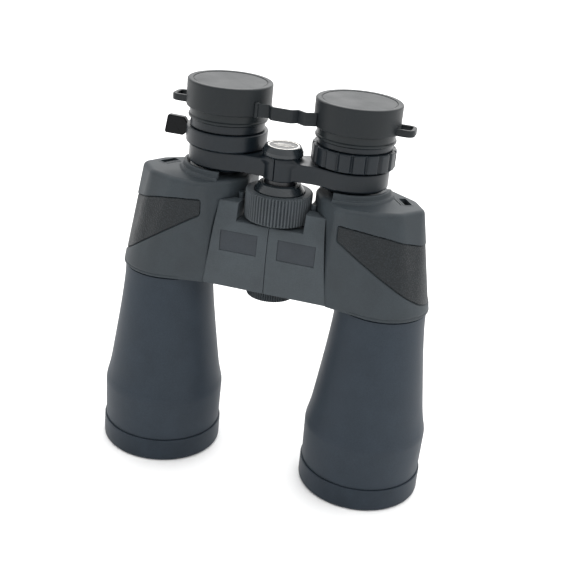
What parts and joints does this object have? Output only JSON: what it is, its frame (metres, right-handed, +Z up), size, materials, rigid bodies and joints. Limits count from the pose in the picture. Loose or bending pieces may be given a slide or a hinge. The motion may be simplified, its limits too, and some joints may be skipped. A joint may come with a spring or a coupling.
{
  "type": "astronomy binoculars",
  "caption": "Large porro-prism zoom binoculars on folding hinge, with focus wheel, zoom lever, dioptre ring, rain guard and lens caps; stands on its capped objectives.",
  "frame": {"origin": "on the standing surface, midway between the two objective axes", "axes": "+Z up through the eyepieces, +X from the zoom-lever side to the dioptre side, -Y towards the label plates and focus wheel"},
  "size_m": [0.1914, 0.0688, 0.218],
  "materials": {
    "housing_cast": "black-painted casting",
    "armour_rubber": "fine matte grain",
    "grip_rubber": "pebbled, matte",
    "plate_rubber": "fine matte grain",
    "wheel_rubber": "matte, ribbed",
    "badge_film": "smooth satin",
    "barrel_paint": "fine satin rubber paint",
    "cap_plastic": "moulded, satin",
    "satin_black": "moulded, satin",
    "eyepiece_black": "satin",
    "gloss_black": "polished",
    "eyecup_rubber": "smooth rubber",
    "guard_rubber": "soft matte rubber",
    "blackened_metal": "anodised matte black",
    "brass": "turned",
    "steel": "turned",
    "prism_glass": "ground edges, polished faces",
    "coated_glass": "green-blue coating",
    "disc_metal": "bright ring and lines on dark brown"
  },
  "bodies": {
    "left_half": {"left_housing": "housing_cast", "left_armour": "armour_rubber", "left_grip_inlay": "grip_rubber", "left_label_plate": "plate_rubber", "left_label_badge": "badge_film", "left_upper_prism": "prism_glass", "left_lower_prism": "prism_glass", "left_prism_shelf": "blackened_metal", "left_barrel": "barrel_paint", "left_objective_lens": "coated_glass", "left_retaining_ring": "blackened_metal", "left_guide_tube": "blackened_metal", "hinge_axle": "brass", "tripod_bush": "brass"},
    "right_half": {"right_housing": "housing_cast", "right_armour": "armour_rubber", "right_grip_inlay": "grip_rubber", "right_label_plate": "plate_rubber", "right_label_badge": "badge_film", "right_upper_prism": "prism_glass", "right_lower_prism": "prism_glass", "right_prism_shelf": "blackened_metal", "right_barrel": "barrel_paint", "right_objective_lens": "coated_glass", "right_retaining_ring": "blackened_metal", "right_guide_tube": "blackened_metal"},
    "focus_wheel": {"focus_wheel": "wheel_rubber"},
    "left_bridge": {"left_bridge_arm": "satin_black", "left_ocular_tube": "eyepiece_black", "left_eyecup": "eyecup_rubber", "left_eye_lens": "coated_glass", "hub_sleeve": "gloss_black", "hub_cap": "satin_black", "hub_disc": "disc_metal", "focus_screw": "steel"},
    "right_bridge": {"right_bridge_arm": "satin_black"},
    "zoom_ring": {"zoom_ring": "eyepiece_black", "zoom_lever": "gloss_black"},
    "left_zoom_cell": {"left_zoom_cell": "blackened_metal", "left_zoom_lens": "coated_glass"},
    "right_eyepiece": {"right_ocular_tube": "eyepiece_black", "right_eyecup": "eyecup_rubber", "right_eye_lens": "coated_glass"},
    "dioptre_ring": {"dioptre_ring": "satin_black"},
    "right_zoom_cell": {"right_zoom_cell": "blackened_metal", "right_zoom_lens": "coated_glass"},
    "left_guard": {"left_guard_cup": "guard_rubber"},
    "right_guard": {"right_guard_cup": "guard_rubber"},
    "guard_strap": {"guard_strap": "guard_rubber"},
    "left_cap": {"left_objective_cap": "cap_plastic"},
    "right_cap": {"right_objective_cap": "cap_plastic"},
    "tripod_stud": {"tripod_stud": "steel"},
    "tripod_knob": {"tripod_knob": "satin_black"}
  },
  "joints": [
    {"name": "ipd_fold", "type": "hinge", "parent": "left_half", "child": "right_half", "pos_m": [0, -0.0045, 0.15], "axis": [0, 0, 1], "range_deg": [0, 45]},
    {"name": "focus_turn", "type": "hinge", "parent": "left_half", "child": "focus_wheel", "pos_m": [0, -0.0045, 0.16], "axis": [0, 0, 1], "range_deg": [-180, 360]},
    {"name": "left_focus_travel", "type": "slide", "parent": "left_half", "child": "left_bridge", "axis": [0, 0, 1], "range_m": [-0.0021, 0.0041]},
    {"name": "right_focus_travel", "type": "slide", "parent": "right_half", "child": "right_bridge", "axis": [0, 0, 1], "range_m": [-0.0021, 0.0041]},
    {"name": "zoom_turn", "type": "hinge", "parent": "left_bridge", "child": "zoom_ring", "pos_m": [-0.035, 0.0069, 0.188], "axis": [0, 0, 1], "range_deg": [-50, 50]},
    {"name": "left_zoom_travel", "type": "slide", "parent": "left_bridge", "child": "left_zoom_cell", "axis": [0, 0, 1], "range_m": [-0.0051, 0.0051]},
    {"name": "right_eyepiece_travel", "type": "slide", "parent": "right_bridge", "child": "right_eyepiece", "axis": [0, 0, 1], "range_m": [-0.00085, 0.00085]},
    {"name": "right_zoom_travel", "type": "slide", "parent": "right_eyepiece", "child": "right_zoom_cell", "axis": [0, 0, 1], "range_m": [-0.0051, 0.0051]},
    {"name": "dioptre_turn", "type": "hinge", "parent": "right_eyepiece", "child": "dioptre_ring", "pos_m": [0.035, 0.0069, 0.189], "axis": [0, 0, 1], "range_deg": [-60, 60]},
    {"name": "guard_lift", "type": "slide", "parent": "left_bridge", "child": "left_guard", "axis": [0, 0, 1], "range_m": [0, 0.025]},
    {"name": "right_guard_lift", "type": "slide", "parent": "right_eyepiece", "child": "right_guard", "axis": [0, 0, 1], "range_m": [0, 0.0251]},
    {"name": "strap_swing", "type": "hinge", "parent": "left_guard", "child": "guard_strap", "pos_m": [-0.0153, -0.0056, 0.207], "axis": [0, 0, 1], "range_deg": [0, 22.6]},
    {"name": "left_cap_pull", "type": "slide", "parent": "left_half", "child": "left_cap", "axis": [0, 0, -1], "range_m": [0, 0.02]},
    {"name": "right_cap_pull", "type": "slide", "parent": "right_half", "child": "right_cap", "axis": [0, 0, -1], "range_m": [0, 0.02]},
    {"name": "tripod_stud_travel", "type": "slide", "parent": "left_half", "child": "tripod_stud", "axis": [0, 0, -1], "range_m": [0, 0.0052]},
    {"name": "tripod_knob_turn", "type": "hinge", "parent": "tripod_stud", "child": "tripod_knob", "pos_m": [0, -0.0045, 0.11], "axis": [0, 0, -1], "range_deg": [0, 1440]}
  ],
  "couplings": [
    {"joint": "left_focus_travel", "follows": "focus_turn", "m_per_rad": 0.00063662},
    {"joint": "right_focus_travel", "follows": "focus_turn", "m_per_rad": 0.00063662},
    {"joint": "left_zoom_travel", "follows": "zoom_turn", "m_per_rad": 0.00573},
    {"joint": "right_zoom_travel", "follows": "zoom_turn", "m_per_rad": 0.00573},
    {"joint": "right_eyepiece_travel", "follows": "dioptre_turn", "m_per_rad": 0.000764},
    {"joint": "right_guard_lift", "follows": "guard_lift", "ratio": 1},
    {"joint": "strap_swing", "follows": "ipd_fold", "ratio": 0.5},
    {"joint": "tripod_stud_travel", "follows": "tripod_knob_turn", "m_per_rad": 0.00020213}
  ]
}
